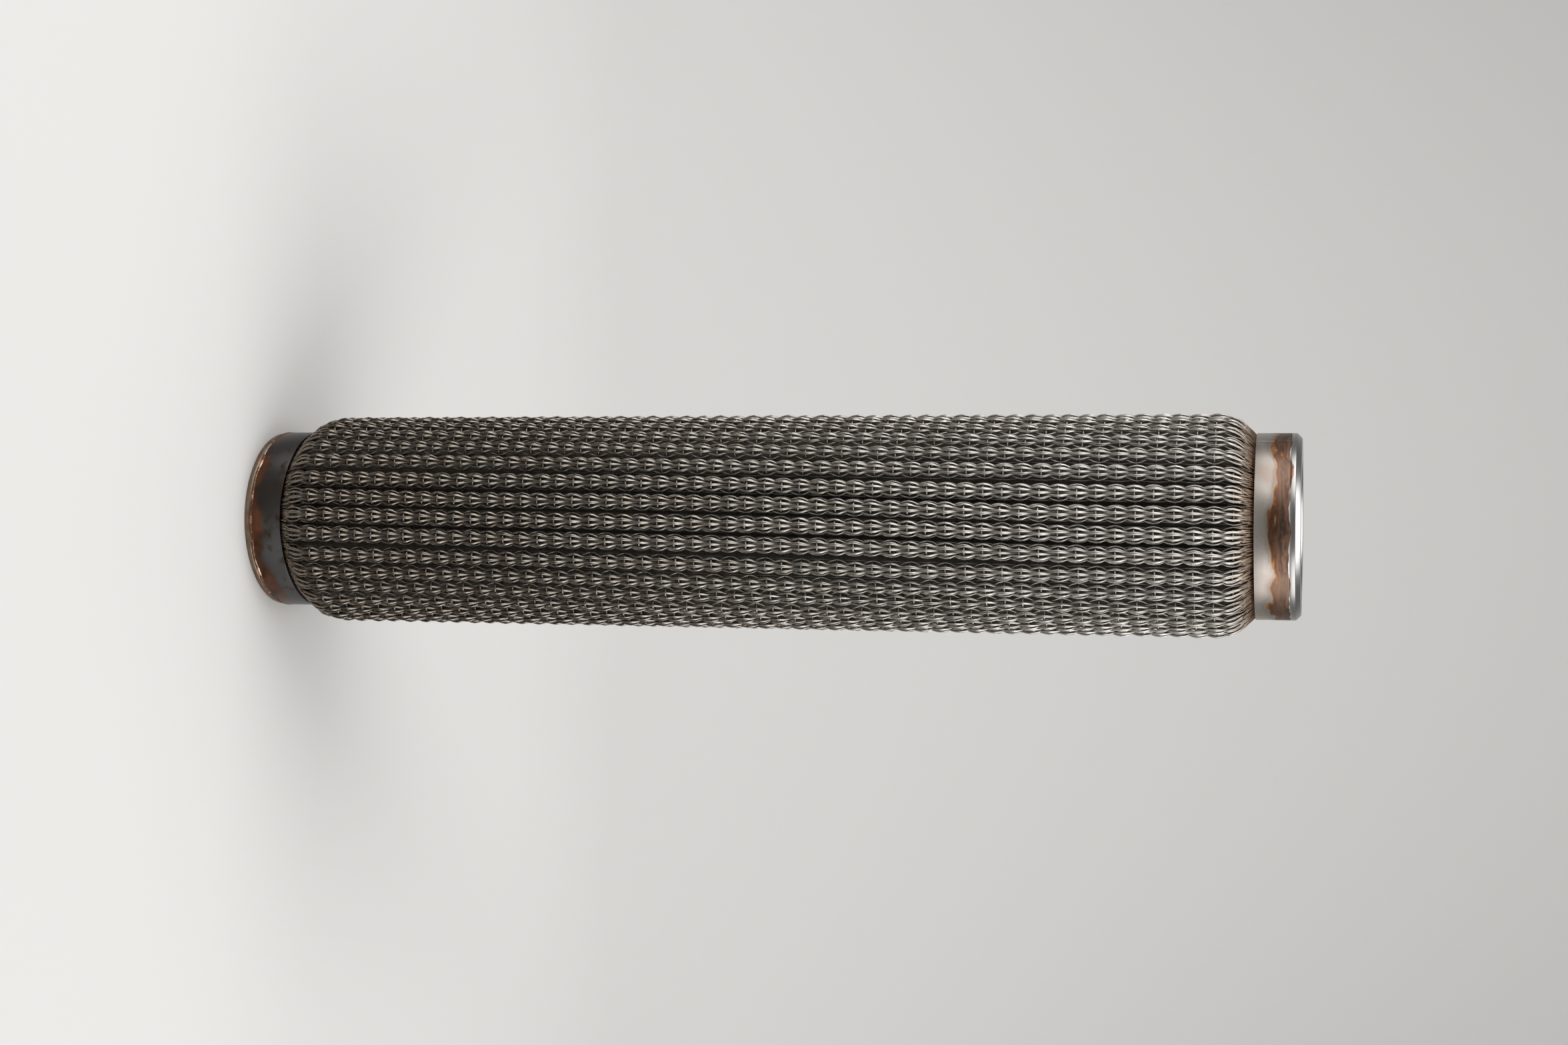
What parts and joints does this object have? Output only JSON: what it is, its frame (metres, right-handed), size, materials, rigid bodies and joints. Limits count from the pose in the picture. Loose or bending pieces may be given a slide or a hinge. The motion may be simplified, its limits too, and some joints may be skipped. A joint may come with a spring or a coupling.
{
  "type": "pleated sintered filter element",
  "caption": "Cylindrical filter candle: pleated woven-wire cloth round a perforated core, welded between a closed cap and an open end ring, with a rolled collar at each end.",
  "frame": {"origin": "centre of the closed cap's foot", "axes": "+Z along the element's axis, from the closed cap to the open end ring; -Y towards the viewer of the picture"},
  "size_m": [0.06, 0.06, 0.2921],
  "materials": {
    "cap_steel": "satin",
    "core_steel": "satin",
    "fine_wire": "matte",
    "felt": "matte",
    "wire": "satin",
    "dark_collar": "satin",
    "tinted_collar": "satin",
    "turned_steel": "polished"
  },
  "bodies": {
    "root": {"end_cap": "cap_steel", "core_tube": "core_steel", "inner_mesh": "fine_wire", "filter_felt": "felt", "outer_mesh": "wire", "lower_collar": "dark_collar", "upper_collar": "tinted_collar", "end_ring": "turned_steel"}
  },
  "joints": []
}
